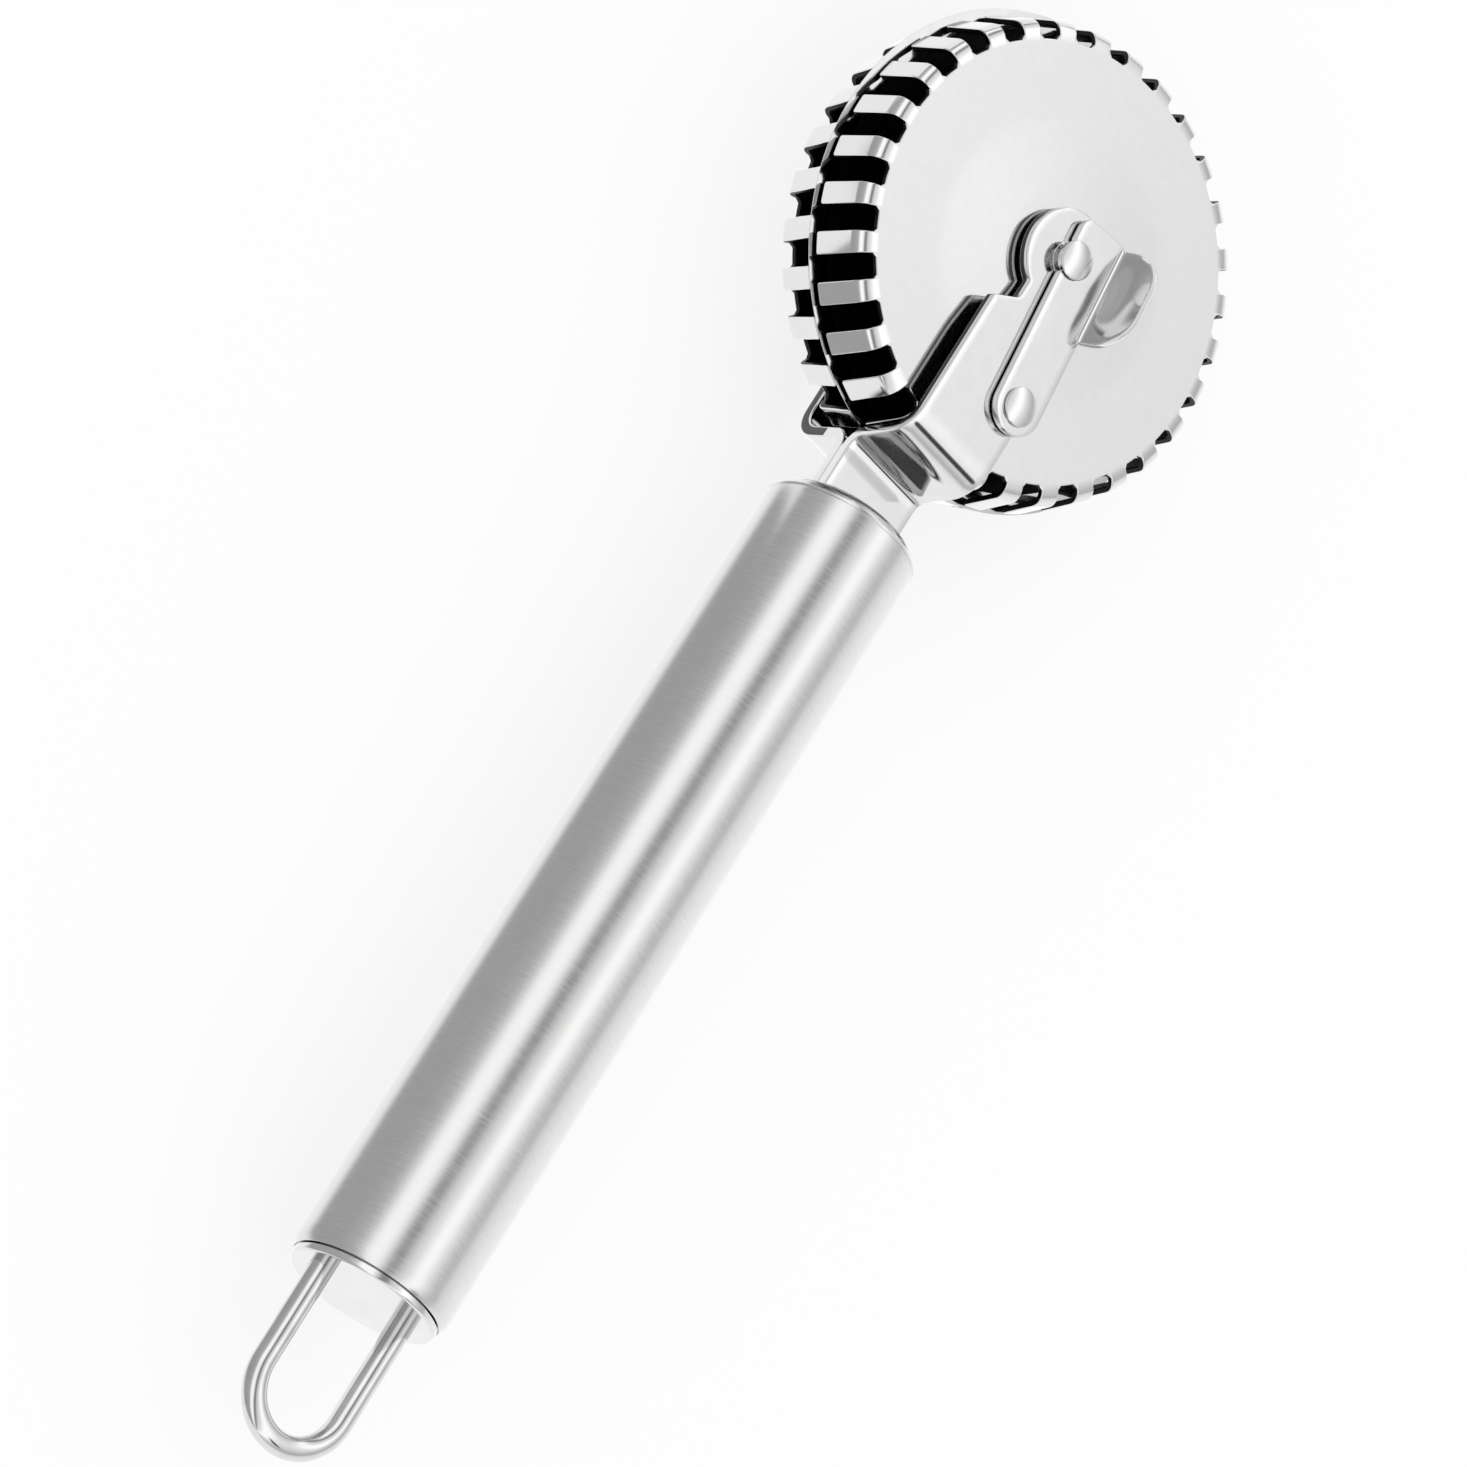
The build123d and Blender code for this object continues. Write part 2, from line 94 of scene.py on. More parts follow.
# %% Outline helpers
def broken(points, radius, steps=4, closed=True):
    """Outline with each corner sharper than 20 degrees replaced by an arc of its radius."""
    points = np.asarray(points, float)
    count = len(points)
    radii = np.broadcast_to(radius, (count,))
    least_turn, most_of_side = 20.0, 0.48
    out = []
    for i in range(count):
        corner = points[i]
        if not closed and i in (0, count - 1):
            out.append(corner)
            continue
        before, after = points[i - 1], points[(i + 1) % count]
        a, b = before - corner, after - corner
        la, lb = np.hypot(*a), np.hypot(*b)
        a, b = a / la, b / lb
        turn = math.pi - math.acos(np.clip(a @ b, -1, 1))
        if math.degrees(turn) < least_turn or radii[i] == 0:
            out.append(corner)
            continue
        reach = min(radii[i] * math.tan(turn / 2), most_of_side * la, most_of_side * lb)
        r = reach / math.tan(turn / 2)
        middle = corner + (a + b) / np.hypot(*(a + b)) * r / math.cos(turn / 2)
        start = corner + a * reach - middle
        stop = corner + b * reach - middle
        t = np.linspace(0, 1, steps + 1)[:, None]
        arc = (np.sin((1 - t) * turn) * start + np.sin(t * turn) * stop) / math.sin(turn)
        out.extend(middle + arc)
    return np.array(out)


def densified(points, step):
    """The same open outline with extra points, so that no straight piece is longer than step."""
    points = np.asarray(points, float)
    out = []
    for a, b in zip(points, points[1:]):
        n = max(1, math.ceil(np.hypot(*(b - a)) / step))
        out.extend(a + (b - a) * k / n for k in range(n))
    return np.array(out + [points[-1]])


def arc_points(centre, radius, start, stop, steps):
    """Points on a circle between two angles in degrees: centre plus radius times cosine, sine."""
    a = np.radians(np.linspace(start, stop, steps + 1))
    return np.stack([centre[0] + radius * np.cos(a), centre[1] + radius * np.sin(a)], 1)


print("corners of a broken unit square:", len(broken([(0, 0), (1, 0), (1, 1), (0, 1)], 0.1)))

# %% [markdown]
# ## From arrays to meshes
#
# A surface is an array of points with rows and columns. Neighbouring rows and columns are joined by
# quads; where the surface closes on itself the last joins the first. Points that fall together at a
# tip are merged. The normals decide how a mirror-like surface looks: they are given with the shape
# where they can be worked out, and elsewhere they are weighted by face area, so that broad flats
# stay flat while the narrow broken edges round off between them.

# %% Mesh helpers
pieces_made = {}


def grid_faces(rows, columns, wrap_rows, wrap_columns):
    """Quads between neighbouring rows and columns, as rows of four point numbers."""
    i = np.arange(rows if wrap_rows else rows - 1)
    j = np.arange(columns if wrap_columns else columns - 1)
    i, j = np.meshgrid(i, j, indexing="ij")
    ni, nj = (i + 1) % rows, (j + 1) % columns
    quads = [i * columns + j, i * columns + nj, ni * columns + nj, ni * columns + j]
    return np.stack(quads, -1).reshape(-1, 4)


def merged(points, faces):
    """Points within a micron made one: the points kept, the faces renumbered, each face's old row.

    A quad that loses a corner becomes a triangle, and one that loses two is dropped.
    """
    _, kept, number = np.unique((points / 1e-6).round().astype(np.int64), axis=0,
                                return_index=True, return_inverse=True)
    faces = number.reshape(-1)[faces]
    out, source = [], []
    for row, face in enumerate(faces.tolist()):
        corners = [c for k, c in enumerate(face) if c != face[k - 1]]
        if len(set(corners)) == len(corners) > 2:
            out.append(corners)
            source.append(row)
    return kept, out, np.array(source)


def skin(name, grid, body, node=None, wrap_rows=False, caps=False, second=None, normals=None):
    """One object from a grid of points in millimetres, merged, faced outward and smooth.

    The quads that start at a point marked in second take the piece's second material. Where the
    surface's own normals are given, they are kept; elsewhere they are weighted by the faces' areas.
    """
    rows, columns = grid.shape[:2]
    points = to_frame(grid.reshape(-1, 3))
    quads = grid_faces(rows, columns, wrap_rows, True)
    kept, faces, source = merged(points, quads)
    slots = [0] * len(faces)
    if second is not None:
        slots = second.reshape(-1)[quads[source, 0]].astype(int).tolist()
    if caps:
        number = {old: new for new, old in enumerate(kept.tolist())}
        for first in (0, (rows - 1) * columns):
            faces.append([number[first + k] for k in range(columns)])
            slots.append(0)
    mesh = bpy.data.meshes.new(name)
    mesh.from_pydata(points[kept].tolist(), [], faces)
    mesh.polygons.foreach_set("material_index", slots)
    work = bmesh.new()
    work.from_mesh(mesh)
    bmesh.ops.recalc_face_normals(work, faces=work.faces)
    work.to_mesh(mesh)
    work.free()
    mesh.shade_smooth()
    piece = bpy.data.objects.new(name, mesh)
    bpy.context.scene.collection.objects.link(piece)
    if normals is None:
        weighted = piece.modifiers.new("flats stay flat", "WEIGHTED_NORMAL")
        weighted.weight = 50
    else:
        mesh.normals_split_custom_set_from_vertices(normals.reshape(-1, 3)[kept].tolist())
    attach(piece, body)
    if node:
        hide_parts(node)
    pieces_made[name] = piece
    print(f"{name}: {len(mesh.vertices)} points, {len(mesh.polygons)} faces")


def turned(profile, segments, axis="z", centre=(0.0, 0.0)):
    """Profile of (radius, height) swept round: radius times cosine and sine, height kept."""
    profile = np.asarray(profile, float)
    a = np.linspace(0, 2 * np.pi, segments, endpoint=False)
    r, h = profile[:, None, 0], profile[:, None, 1]
    around, across = r * np.cos(a), r * np.sin(a)
    height = np.broadcast_to(h, around.shape)
    if axis == "z":
        return np.stack([around + centre[0], across + centre[1], height], -1)
    return np.stack([height, around, across], -1)


print("quads of a closed three by four grid:", len(grid_faces(3, 4, True, True)))

# %% [markdown]
# ## The handle tube
#
# A welded tube of 20 mm with both ends rolled in, so that the hand meets no edge. Rolling leaves an
# arc: its radius follows from how far the wall sinks over how long a stretch. The front roll starts
# at a slant, and the roller leaves a fine witness line there. The tube's wall is drawn as one
# closed outline and swept round the handle. The inside of the front mouth is painted dark grey, as
# painted shade in the recess.

# %% Handle tube
TUBE_WALL = 0.7
FRONT_ROLL, FRONT_DROP, FRONT_SLANT = 1.5, 1.4, 22.0
REAR_ROLL, REAR_DROP, REAR_SLANT = 2.0, 0.55, 0.0
WITNESS_DEPTH = 0.12
WITNESS_WIDTH = 0.4
ROLL_STEPS = 10


def rolled_end(length, drop, first_slant):
    """Outer and inner arc of a rolled end as (radius, distance from where the roll starts).

    The arc starts at a slant to the tube and ends at twice the angle of drop over length, less that
    slant, so that it sinks by the drop over the length.
    """
    start = math.radians(first_slant)
    stop = 2 * math.atan(drop / length) - start
    big = drop / (math.cos(start) - math.cos(stop))
    a = np.linspace(start, stop, ROLL_STEPS + 1)
    middle = np.array([TUBE_RADIUS - big * math.cos(start), -big * math.sin(start)])
    around = np.stack([np.cos(a), np.sin(a)], 1)
    return middle + big * around, middle + (big - TUBE_WALL) * around


front_outer, front_inner = rolled_end(FRONT_ROLL, FRONT_DROP, FRONT_SLANT)
rear_outer, rear_inner = rolled_end(REAR_ROLL, REAR_DROP, REAR_SLANT)
witness = np.array([
    (TUBE_RADIUS, -WITNESS_WIDTH),
    (TUBE_RADIUS - WITNESS_DEPTH, -WITNESS_WIDTH / 2),
])
forward = np.array([1.0, 1.0])
backward = np.array([1.0, -1.0])
front_start = np.array([0.0, FRONT_END - FRONT_ROLL])
rear_start = np.array([0.0, REAR_END + REAR_ROLL])
tube_outline = np.concatenate([
    witness * forward + front_start,
    front_outer * forward + front_start,
    front_inner[::-1] * forward + front_start,
    rear_inner * backward + rear_start,
    rear_outer[::-1] * backward + rear_start,
])
tube_grid = turned(broken(tube_outline, 0.05), 192, "x")
from_axis = np.hypot(tube_grid[..., 1], tube_grid[..., 2])
# The mouth's inside takes the second material: painted shade in the recess.
mouth = (tube_grid[..., 0] > FRONT_END - FRONT_ROLL) & (from_axis < TUBE_RADIUS - 1.0)
skin("handle_skin", tube_grid, BODY, "handle_tube", wrap_rows=True, second=mouth)

# %% [markdown]
# ## The end caps
#
# A flat cap closes each end. The front cap is a plain disc that sits inside the rolled mouth, with
# the fork's two necks through it. The rear cap is a lid with a soft rim that stands a hair off the
# tube, which is the fine dark line in the picture. Its skirt runs into the tube. Both are turned.

# %% End caps
CAP_GAP = 0.25  # between the front cap and the rolled wall
CAP_PROUD = 0.3
CAP_RADIUS = front_inner[-1, 0] - CAP_GAP
front_cap_outline = broken([
    (0, FRONT_END + CAP_PROUD),
    (CAP_RADIUS, FRONT_END + CAP_PROUD),
    (CAP_RADIUS, FRONT_END - FRONT_ROLL),
], 0.25, closed=False)
skin("front_cap_skin", turned(front_cap_outline, 128, "x"), BODY, "front_cap")

LID_RADIUS = 9.35
LID_OUTSIDE = REAR_END - 1.05
LID_INSIDE = REAR_END - 0.15
SKIRT_RADIUS = 8.7
SKIRT_LENGTH = 3.0
lid_outline = broken([
    (0, LID_OUTSIDE),
    (LID_RADIUS, LID_OUTSIDE),
    (LID_RADIUS, LID_INSIDE),
    (SKIRT_RADIUS, LID_INSIDE),
    (SKIRT_RADIUS, REAR_END + SKIRT_LENGTH),
], [0, 0.42, 0.1, 0, 0], steps=6, closed=False)
skin("rear_cap_skin", turned(lid_outline, 160, "x"), BODY, "rear_cap")

# %% [markdown]
# ## The hanging loop
#
# One wire, bent to a half circle. The wire's circle is carried along the path: at each station the
# two directions square to the path are the plane's own normal and the path turned by a quarter.

# %% Hanging loop
WIRE_RADIUS = 1.5
LOOP_RADIUS = 6.4
LOOP_REACH = 21.7
LEG_INSIDE = 6.0  # length of each leg inside the handle
LOOP_CENTRE = REAR_END - LOOP_REACH + WIRE_RADIUS + LOOP_RADIUS
leg = np.linspace(REAR_END + LEG_INSIDE, LOOP_CENTRE, 12)[:-1]
leg_out = np.stack([leg, np.full_like(leg, LOOP_RADIUS)], 1)
leg_back = leg_out[::-1] * [1, -1]
half_circle = arc_points((LOOP_CENTRE, 0), LOOP_RADIUS, 90, 270, 64)
path = np.concatenate([leg_out, half_circle, leg_back])
along = np.gradient(path, axis=0)
along /= np.hypot(along[:, 0], along[:, 1])[:, None]
side = np.stack([-along[:, 1], along[:, 0]], 1)
wire = np.linspace(0, 2 * np.pi, 40, endpoint=False)
wire_out, wire_up = WIRE_RADIUS * np.cos(wire), WIRE_RADIUS * np.sin(wire)
loop_grid = np.concatenate([
    path[:, None, :] + side[:, None, :] * wire_out[None, :, None],
    np.broadcast_to(wire_up[None, :, None], (len(path), len(wire), 1)),
], -1)
skin("loop_wire", loop_grid, BODY, "hanging_loop", caps=True)

# %% [markdown]
# ## Plates with broken edges
#
# A flat plate is drawn between two chains of points, left and right, that meet at both ends. Across
# each pair the section climbs over a quarter-round rim, crosses the top, goes down over the other
# rim and returns below. The rim's inset is edge times one minus cosine, its depth edge times one
# minus sine, measured square to the outline. The flat pattern is then bent like paper.

# %% Plate helpers
RIM_STEPS = 4


def chain_normals(chain, first_before, last_after, outward):
    """Unit normals of a chain, by central differences with one point added at each end."""
    full = np.concatenate([[first_before], chain, [last_after]])
    tangent = full[2:] - full[:-2]
    tangent /= np.maximum(np.hypot(tangent[:, 0], tangent[:, 1]), 1e-9)[:, None]
    return np.stack([tangent[:, 1], -tangent[:, 0]], 1) * outward


def plate(left, right, thickness, edge, across, wall_split=0.5):
    """Grid of (u, v, depth) for a plate between two chains: depth is zero on top, minus below it.

    Each side wall has one line of points along it, at the share wall_split of the thickness.
    """
    middle = len(left) // 2
    ahead, over = left[middle] - left[middle - 1], right[middle] - left[middle]
    turn = 1.0 if ahead[0] * over[1] - ahead[1] * over[0] < 0 else -1.0
    normal_left = chain_normals(left, right[1], right[-2], -turn)
    normal_right = chain_normals(right, left[1], left[-2], turn)
    a = np.linspace(0, np.pi / 2, RIM_STEPS + 1)
    inset, sunk = edge * (1 - np.cos(a)), -edge * (1 - np.sin(a))
    rim_left = left[:, None] - normal_left[:, None] * inset[None, :, None]
    rim_right = right[:, None] - normal_right[:, None] * inset[None, :, None]
    t = across[None, 1:-1, None]
    inside = rim_left[:, -1:] * (1 - t) + rim_right[:, -1:] * t
    top = np.concatenate([rim_left, inside, rim_right[:, ::-1]], 1)
    depth = np.concatenate([sunk, np.zeros(len(across) - 2), sunk[::-1]])
    split = [-thickness * wall_split]
    plan = np.concatenate([top, top[:, -1:], top[:, ::-1], top[:, :1]], 1)
    depth = np.concatenate([depth, split, -thickness - depth[::-1], split])
    depth = np.broadcast_to(depth[None, :, None], plan.shape[:2] + (1,))
    return np.concatenate([plan, depth], -1)


def bent(grid, path_points):
    """Wraps u along a side view: place at that length of the path plus depth times its normal."""
    path_points = np.asarray(path_points, float)
    steps = np.hypot(*np.diff(path_points, axis=0).T)
    length = np.concatenate([[0], np.cumsum(steps)])
    tangent = np.gradient(path_points, length, axis=0)
    tangent /= np.hypot(tangent[:, 0], tangent[:, 1])[:, None]
    u, v, depth = grid[..., 0], grid[..., 1], grid[..., 2]
    x, z = (np.interp(u, length, path_points[:, k]) for k in (0, 1))
    tx, tz = (np.interp(u, length, tangent[:, k]) for k in (0, 1))
    return np.stack([x + tz * depth, v, z - tx * depth], -1)


# %% [markdown]
# ## The fork
#
# Each arm is one strip, 12.6 mm wide and 1.5 mm thick. Seen from the side it leaves the handle flat
# against its twin, turns up round the blade and runs over the crimp wheel to the eye on the axle.
# Seen from above it has a waist before the round eye. The flat pattern is made first, then bent
# along the side view, as a press brake would do it. A sheared wall has two zones: near the face
# where the punch went in it is burnished, and below that it is torn and dull. The torn zone is
# painted dark only where the arm runs flat over the wheel, marked by height: painted shade, as the
# wall there reflects the dark gap under the arm.

# %% Fork arms
EYE = 6.35  # radius of the round end on the axle
HALF = 6.3  # half of the strap's width
WAIST = 3.1  # half of the width at the waist
WAIST_END = EYE + 8.2
SHOULDER = EYE + 10.3
RISER = -31.0
RISER_LEAN = 0.7
SHOULDER_BEND, NECK_BEND = 4.2, 1.5
# Above these heights the lower wall is painted dark: painted shade of the gap under the arm.
TORN_AND_SHADED_ABOVE, FAR_TORN_AND_SHADED_ABOVE = 8.5, 5.0
ARM_EDGE = 0.22
side_view = broken(
    [(EYE, ARM_TOP), (RISER, ARM_TOP), (RISER - RISER_LEAN, SHEET), (FRONT_END - 6.0, SHEET)],
    [0, SHOULDER_BEND, NECK_BEND, 0], steps=24, closed=False,
)
side_view = densified(side_view, 0.4)
strap_length = np.hypot(*np.diff(side_view, axis=0).T).sum()

eye_angle = math.degrees(math.asin(WAIST / EYE))
edge_line = np.concatenate([
    arc_points((EYE, 0), EYE, 180, eye_angle, 40),
    [(WAIST_END, WAIST), (SHOULDER, HALF), (strap_length, HALF)],
])
edge_line = broken(edge_line, [0] * 40 + [1.0, 1.0, 0.5, 0], steps=6, closed=False)
edge_line = densified(edge_line, 0.5)
closing = densified([(strap_length, HALF), (strap_length, 0)], 0.8)[1:]
upper_edge = np.concatenate([edge_line, closing])
lower_edge = upper_edge * [1, -1]
flat_arm = plate(upper_edge, lower_edge, SHEET, ARM_EDGE, np.linspace(0, 1, 15), wall_split=0.4)
near_arm = bent(flat_arm, side_view)

# Each side wall is two bands of quads; a band's first column is where it starts.
last, half = near_arm.shape[1] - 1, near_arm.shape[1] // 2
# The lower band over the wheel takes the painted shade: the dark gap under the arm, reflected.
torn_and_shaded = np.zeros(near_arm.shape[:2], bool)
torn_and_shaded[:, [half - 1, last - 1]] = True
far_torn_and_shaded = torn_and_shaded.copy()
far_torn_and_shaded[:, [0, half - 2, last]] = True
torn_and_shaded &= near_arm[..., 2] > TORN_AND_SHADED_ABOVE
far_torn_and_shaded &= near_arm[..., 2] > FAR_TORN_AND_SHADED_ABOVE
skin("near_arm_strap", near_arm, BODY, "near_fork_arm", second=torn_and_shaded)
skin("far_arm_strap", near_arm * [1, 1, -1], BODY, "far_fork_arm", second=far_torn_and_shaded)

# %% [markdown]
# ## The crimp wheels: pressing a disc into a cup
#
# A crimp wheel starts as a flat disc with 31 slots punched in from its rim. Pressing turns the rim
# down into a shallow cup, so the strips between the slots become bent fingers, flared a little as
# the sheet springs back. Pressing keeps lengths: a point at a distance from the centre moves along
# the flat, round the bend and down the rim by that same distance. The middle is pressed up by about
# a millimetre into a shallow dish, which brings it close under the arm. The normals come from the
# same formula. They show only a part of the dish's slope, because the picture's disc is all one
# even grey.

# %% Pressing
CUP_SHEET = 0.8
BEND = 1.9
TIP_HEIGHT = 0.7
DISH_RISE = 1.2
DISH_OUTER = 17.0
DISH_INNER = 7.5
DISH_SOFT = 0.1
DISH_SHOWN = 0.15
FLARE = math.radians(7.5)
FULL_BEND = math.pi / 2 - FLARE
flat_end = FINGER_RADIUS - BEND
bend_end = flat_end + BEND * FULL_BEND
finger_drop = CUP_TOP - BEND * (1 - math.cos(FULL_BEND)) - TIP_HEIGHT
blank_radius = bend_end + finger_drop / math.sin(FULL_BEND)
print("radius of the flat blank in mm:", round(blank_radius, 2))


def soft_ramp(x):
    """Zero below zero and x above it, with a rounded corner.

    Half the sum of x and the root of x squared plus the softness squared.
    """
    return (x + np.sqrt(x**2 + DISH_SOFT**2)) / 2


def soft_step(x):
    """Slope of the soft ramp, from nought to one: half of one plus x over the ramp's root."""
    return (1 + x / np.sqrt(x**2 + DISH_SOFT**2)) / 2


def pressed(distance, angle, depth):
    """Place on the cup of a point of the blank: along the flat, round the bend, down the rim."""
    bend_angle = np.clip((distance - flat_end) / BEND, 0, FULL_BEND)
    down = np.maximum(distance - bend_end, 0)
    on_flat = np.minimum(distance, flat_end)
    r = on_flat + (BEND + depth) * np.sin(bend_angle) + down * math.sin(FLARE)
    inward = (DISH_OUTER - distance) / (DISH_OUTER - DISH_INNER)
    rise = DISH_RISE * (soft_ramp(inward) - soft_ramp(inward - 1))
    z = CUP_TOP + rise - BEND + (BEND + depth) * np.cos(bend_angle) - down * math.cos(FLARE)
    return np.stack([r * np.cos(angle), r * np.sin(angle), z], -1)


def pressed_normals(distance, angle, outward, edge_share, face_share):
    """Directions square to the cup: its face's own normal and its cut edge's, mixed by two shares.

    The face's normal leans outward by the sine of the bend, or by the dish's slope; the cut edge
    looks along the blank's own outward direction, carried over to the cup.
    """
    bend_angle = np.clip((distance - flat_end) / BEND, 0, FULL_BEND)
    inward = (DISH_OUTER - distance) / (DISH_OUTER - DISH_INNER)
    slope = DISH_SHOWN * DISH_RISE / (DISH_OUTER - DISH_INNER)
    slope = slope * (soft_step(inward) - soft_step(inward - 1))
    zero = np.zeros_like(angle)
    away = np.stack([np.cos(angle), np.sin(angle), zero], -1)
    around = np.stack([-np.sin(angle), np.cos(angle), zero], -1)
    up = np.array([0.0, 0.0, 1.0])
    cosine, sine = np.cos(bend_angle)[..., None], np.sin(bend_angle)[..., None]
    face = away * (sine + slope[..., None]) + up * cosine
    edge = around * outward[:, None, :1] + (away * cosine - up * sine) * outward[:, None, 1:]
    mixed = edge * edge_share[None, :, None] + face * face_share[None, :, None]
    return mixed / np.linalg.norm(mixed, axis=-1, keepdims=True)


# %% [markdown]
# ## The crimp wheels: the flat blank
#
# The blank is a ring between the bore and one long toothed outline. From the outline the grid runs
# inward in columns, over a small round on the cut edge, and on to the bore. Its levels lie at the
# outline's own points on the sides of the slots, so that the columns beside a slot meet it squarely
# and no sliver folds over. The underside is the same grid again, one sheet's thickness lower.

# %% Toothed blank
SLOT_END = 26.5
SLOT_MARGIN = 0.3  # the plain ring starts this far inside the slots
SLOT_CORNER = 0.5
SLOT_SHARE = 0.54  # of the pitch, the rest is finger
SLOT_ROUND, TIP_ROUND = 0.25, 0.3
# keeps each wheel under 200,000 triangles
OUTLINE_STEP = 0.49  # spacing of the outline's points; it sets how many faces each wheel has
CUT_EDGE = 0.14
CUT_STEPS = 3
BORE = 3.2
pitch = 2 * math.pi / FINGERS
half_slot = pitch * SLOT_SHARE / 2 * FINGER_RADIUS
one_finger = pitch * FINGER_RADIUS


def toothed_outline():
    """A slot and a finger of the blank in (arc length at the rim's radius, distance)."""
    one = np.array([
        (-half_slot + SLOT_CORNER, SLOT_END),
        (half_slot - SLOT_CORNER, SLOT_END),
        (half_slot, SLOT_END + SLOT_CORNER),
        (half_slot, blank_radius),
        (one_finger - half_slot, blank_radius),
        (one_finger - half_slot, SLOT_END + SLOT_CORNER),
    ])
    radii = [SLOT_ROUND] * 3 + [TIP_ROUND] * 2 + [SLOT_ROUND]
    three = np.concatenate([one - [one_finger, 0], one, one + [one_finger, 0]])
    soft = densified(broken(three, radii * 3, steps=3), OUTLINE_STEP)
    first = -half_slot + SLOT_CORNER
    return soft[(soft[:, 0] > first) & (soft[:, 0] <= first + one_finger)]


def inward_levels(per):
    """Distances of the grid's columns: down a slot's side, then over flat and dish to the bore."""
    slot_side = np.isclose(per[:, 0], half_slot)
    near_corner = np.array([2.0, 1.0, 0.4, -0.4, -1.0, -2.0])
    return np.concatenate([
        np.sort(per[slot_side, 1])[-2:0:-1],
        SLOT_END - np.array([SLOT_MARGIN, 2.0, 5.0]),
        DISH_OUTER + near_corner,
        [(DISH_OUTER + DISH_INNER) / 2],
        DISH_INNER + near_corner,
        [BORE],
    ])


print("points round one slot and finger:", len(toothed_outline()))

# %% [markdown]
# ## The crimp wheels: the cup
#
# The blank's grid is pressed, and the normals with it. Inside the slots each column would run
# straight to the centre and crowd at the bore, so it drifts from its own angle to an even spread.
# The outer face is polished; the slot's walls and the inside of the cup take the second material,
# a near black that paints the shade inside the cup.

# %% Crimp wheels
SLOT_TURN = math.radians(108.0)
FAR_LAG = 0.34  # of a pitch, how far the far wheel lags behind the near one


def crimp_wheel(turn):
    """Points and normals of the cup: from the outline inward to the bore, then back below."""
    per = toothed_outline()
    outline = np.concatenate([per + [one_finger * k, 0] for k in range(FINGERS)])
    ahead = np.roll(outline, -1, axis=0)
    ahead[-1, 0] += one_finger * FINGERS
    behind = np.roll(outline, 1, axis=0)
    behind[0, 0] -= one_finger * FINGERS
    tangent = ahead - behind
    tangent /= np.hypot(tangent[:, 0], tangent[:, 1])[:, None]
    outward = np.stack([-tangent[:, 1], tangent[:, 0]], 1)
    a = np.linspace(0, np.pi / 2, CUT_STEPS + 1)
    inset, sunk = CUT_EDGE * (1 - np.cos(a)), -CUT_EDGE * (1 - np.sin(a))
    rim = outline[:, None] - outward[:, None] * inset[None, :, None]
    start = rim[:, -1]
    levels = inward_levels(per)
    distance = np.minimum(start[:, None, 1], levels[None])
    spread = (np.arange(len(outline)) + 0.5) / len(outline) * one_finger * FINGERS + outline[0, 0]
    drift_start = SLOT_END - SLOT_MARGIN
    drift = np.clip((drift_start - levels) / (drift_start - BORE), 0, 1)[None]
    arc = start[:, None, 0] * (1 - drift) + spread[:, None] * drift
    top = np.concatenate([rim, np.stack([arc, distance], -1)], 1)
    depth = np.concatenate([sunk, np.zeros(len(levels))])
    both = np.concatenate([top, top[:, ::-1]], 1)
    depth = np.concatenate([depth, -CUP_SHEET - depth[::-1]])
    angle = both[..., 0] / FINGER_RADIUS + turn
    edge_share = np.concatenate([np.cos(a), np.zeros(len(levels))])
    face_share = np.concatenate([np.sin(a), np.ones(len(levels))])
    normals = pressed_normals(
        both[..., 1], angle, outward,
        np.concatenate([edge_share, edge_share[::-1]]),
        np.concatenate([face_share, -face_share[::-1]]),
    )
    return pressed(both[..., 1], angle, depth[None]), normals


near_cup, near_normals = crimp_wheel(SLOT_TURN)
far_cup, far_normals = crimp_wheel(SLOT_TURN - FAR_LAG * pitch)
turned_over = np.array([1.0, 1.0, -1.0])
# The inside of the cup and the slots' walls get painted shade, near black.
cup_inside = np.zeros(near_cup.shape[:2], bool)
cup_inside[:, near_cup.shape[1] // 2:] = True
skin("near_cup", near_cup, WHEEL_BODY, "near_crimp_wheel", wrap_rows=True, second=cup_inside,
     normals=near_normals)
skin("far_cup", far_cup * turned_over, WHEEL_BODY, "far_crimp_wheel", wrap_rows=True,
     second=cup_inside, normals=far_normals * turned_over)

# %% [markdown]
# ## The blade
#
# A plain disc between the two cups, ground to a bevel from both sides and polished only there. Its
# middle between the cups is painted near black, as shade. It has play on the axle, and the picture
# shows it hanging a little out of centre, towards the side of the handle that faces away. So it is
# drawn a touch smaller than its frame, and shifted.

# %% Blade
BLADE_RADIUS = 30.2
BLADE_SHIFT = (0.28, 0.27)
BLADE_HALF, TIP_HALF = 0.4, 0.05
BEVEL_START = 27.8
blade_outline = broken([
    (BORE, -BLADE_HALF), (BEVEL_START, -BLADE_HALF), (BLADE_RADIUS, -TIP_HALF),
    (BLADE_RADIUS, TIP_HALF), (BEVEL_START, BLADE_HALF), (BORE, BLADE_HALF),
], 0.03)
blade_grid = turned(blade_outline, 256, centre=BLADE_SHIFT)
between_wheels = np.broadcast_to(blade_outline[:, :1] < BEVEL_START + 0.1, blade_grid.shape[:2])
between_wheels = between_wheels & np.roll(between_wheels, -1, axis=0)
skin("blade_disc", blade_grid, WHEEL_BODY, "cutting_blade", wrap_rows=True, second=between_wheels)

# %% [markdown]
# ## The axle and the rivet
#
# The axle is turned from bar: a broad foot, a groove that the latch drops into, and a low domed
# head. The rivet has the same kind of dome and is spread under the arm. Each is a profile from the
# top of its dome down the outside to the middle of its underside, swept round.

